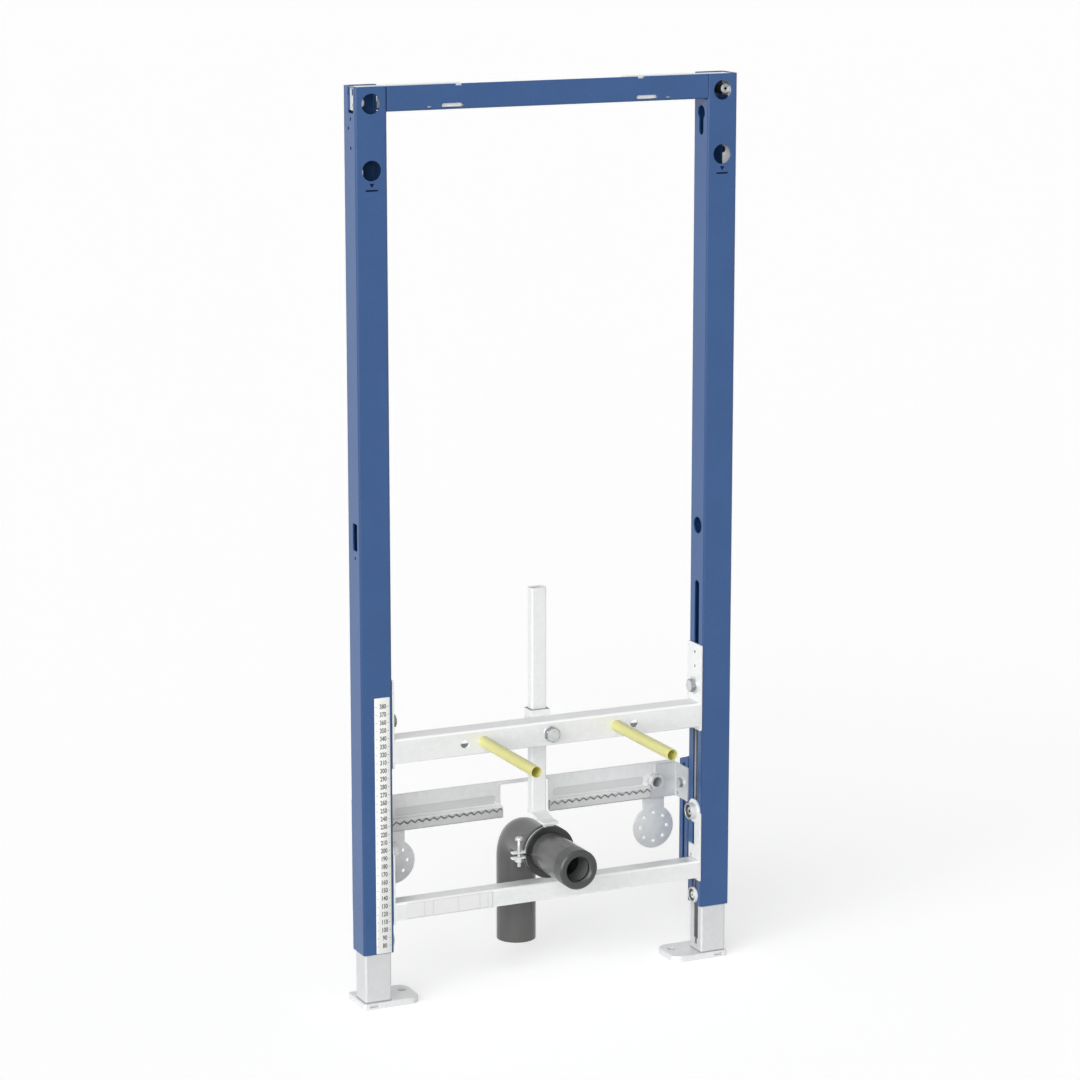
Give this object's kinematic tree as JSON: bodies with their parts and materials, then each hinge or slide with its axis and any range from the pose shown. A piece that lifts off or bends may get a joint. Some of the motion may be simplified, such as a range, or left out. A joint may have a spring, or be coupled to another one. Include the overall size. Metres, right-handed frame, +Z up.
{
  "type": "bidet installation frame",
  "caption": "Upright in-wall frame of folded posts on telescopic feet, with a stud rail for a wall-hung bidet, a clamped waste bend and a toothed rail for tap connections.",
  "frame": {"origin": "on the floor under the middle of the frame, with the feet pushed in", "axes": "+Z up, +X to the right seen from the bidet's side, -Y towards the bidet"},
  "size_m": [0.5, 0.279, 1.12],
  "materials": {
    "blue_coating": "satin powder coating",
    "galvanised_steel": "galvanised sheet",
    "white_plastic": "white moulded",
    "grey_pe": "dark grey pipe",
    "black_rubber": "soft dark rubber",
    "yellow_tube": "pale yellow sleeve"
  },
  "bodies": {
    "frame": {"left_post": "blue_coating", "left_corner_connector": "galvanised_steel", "left_foot_brake": "white_plastic", "left_lower_end_plate": "galvanised_steel", "left_lower_knob": "galvanised_steel", "left_rear_rail": "blue_coating", "left_tap_bracket": "galvanised_steel", "left_tap_disc": "galvanised_steel", "right_post": "blue_coating", "right_corner_connector": "galvanised_steel", "right_foot_brake": "white_plastic", "right_lower_end_plate": "galvanised_steel", "right_lower_knob": "galvanised_steel", "right_rear_rail": "blue_coating", "right_tap_bracket": "galvanised_steel", "right_tap_disc": "galvanised_steel", "top_bar": "blue_coating", "lower_rail": "galvanised_steel", "tap_rail": "galvanised_steel"},
    "left_foot": {"left_foot_tube": "galvanised_steel", "left_foot_plate": "galvanised_steel"},
    "right_foot": {"right_foot_tube": "galvanised_steel", "right_foot_plate": "galvanised_steel"},
    "rail": {"left_rail_end_plate": "galvanised_steel", "left_rail_bolt": "galvanised_steel", "left_stud": "galvanised_steel", "left_stud_tube": "yellow_tube", "right_rail_end_plate": "galvanised_steel", "right_rail_bolt": "galvanised_steel", "right_stud": "galvanised_steel", "right_stud_tube": "yellow_tube", "fastening_rail": "galvanised_steel", "arm_sleeve": "galvanised_steel", "arm_bolt": "galvanised_steel"},
    "waste": {"arm_bar": "galvanised_steel", "clamp_plate": "galvanised_steel", "pipe_clamp": "galvanised_steel", "clamp_screw": "galvanised_steel", "clamp_rubber": "black_rubber", "waste_bend": "grey_pe", "waste_collar": "black_rubber"}
  },
  "joints": [
    {"name": "left_foot_slide", "type": "slide", "parent": "frame", "child": "left_foot", "axis": [0, 0, -1], "range_m": [0, 0.2]},
    {"name": "right_foot_slide", "type": "slide", "parent": "frame", "child": "right_foot", "axis": [0, 0, -1], "range_m": [0, 0.2]},
    {"name": "rail_slide", "type": "slide", "parent": "frame", "child": "rail", "axis": [0, 0, 1], "range_m": [0, 0.06]},
    {"name": "waste_slide", "type": "slide", "parent": "frame", "child": "waste", "axis": [0, 0, 1], "range_m": [0, 0.04]}
  ]
}
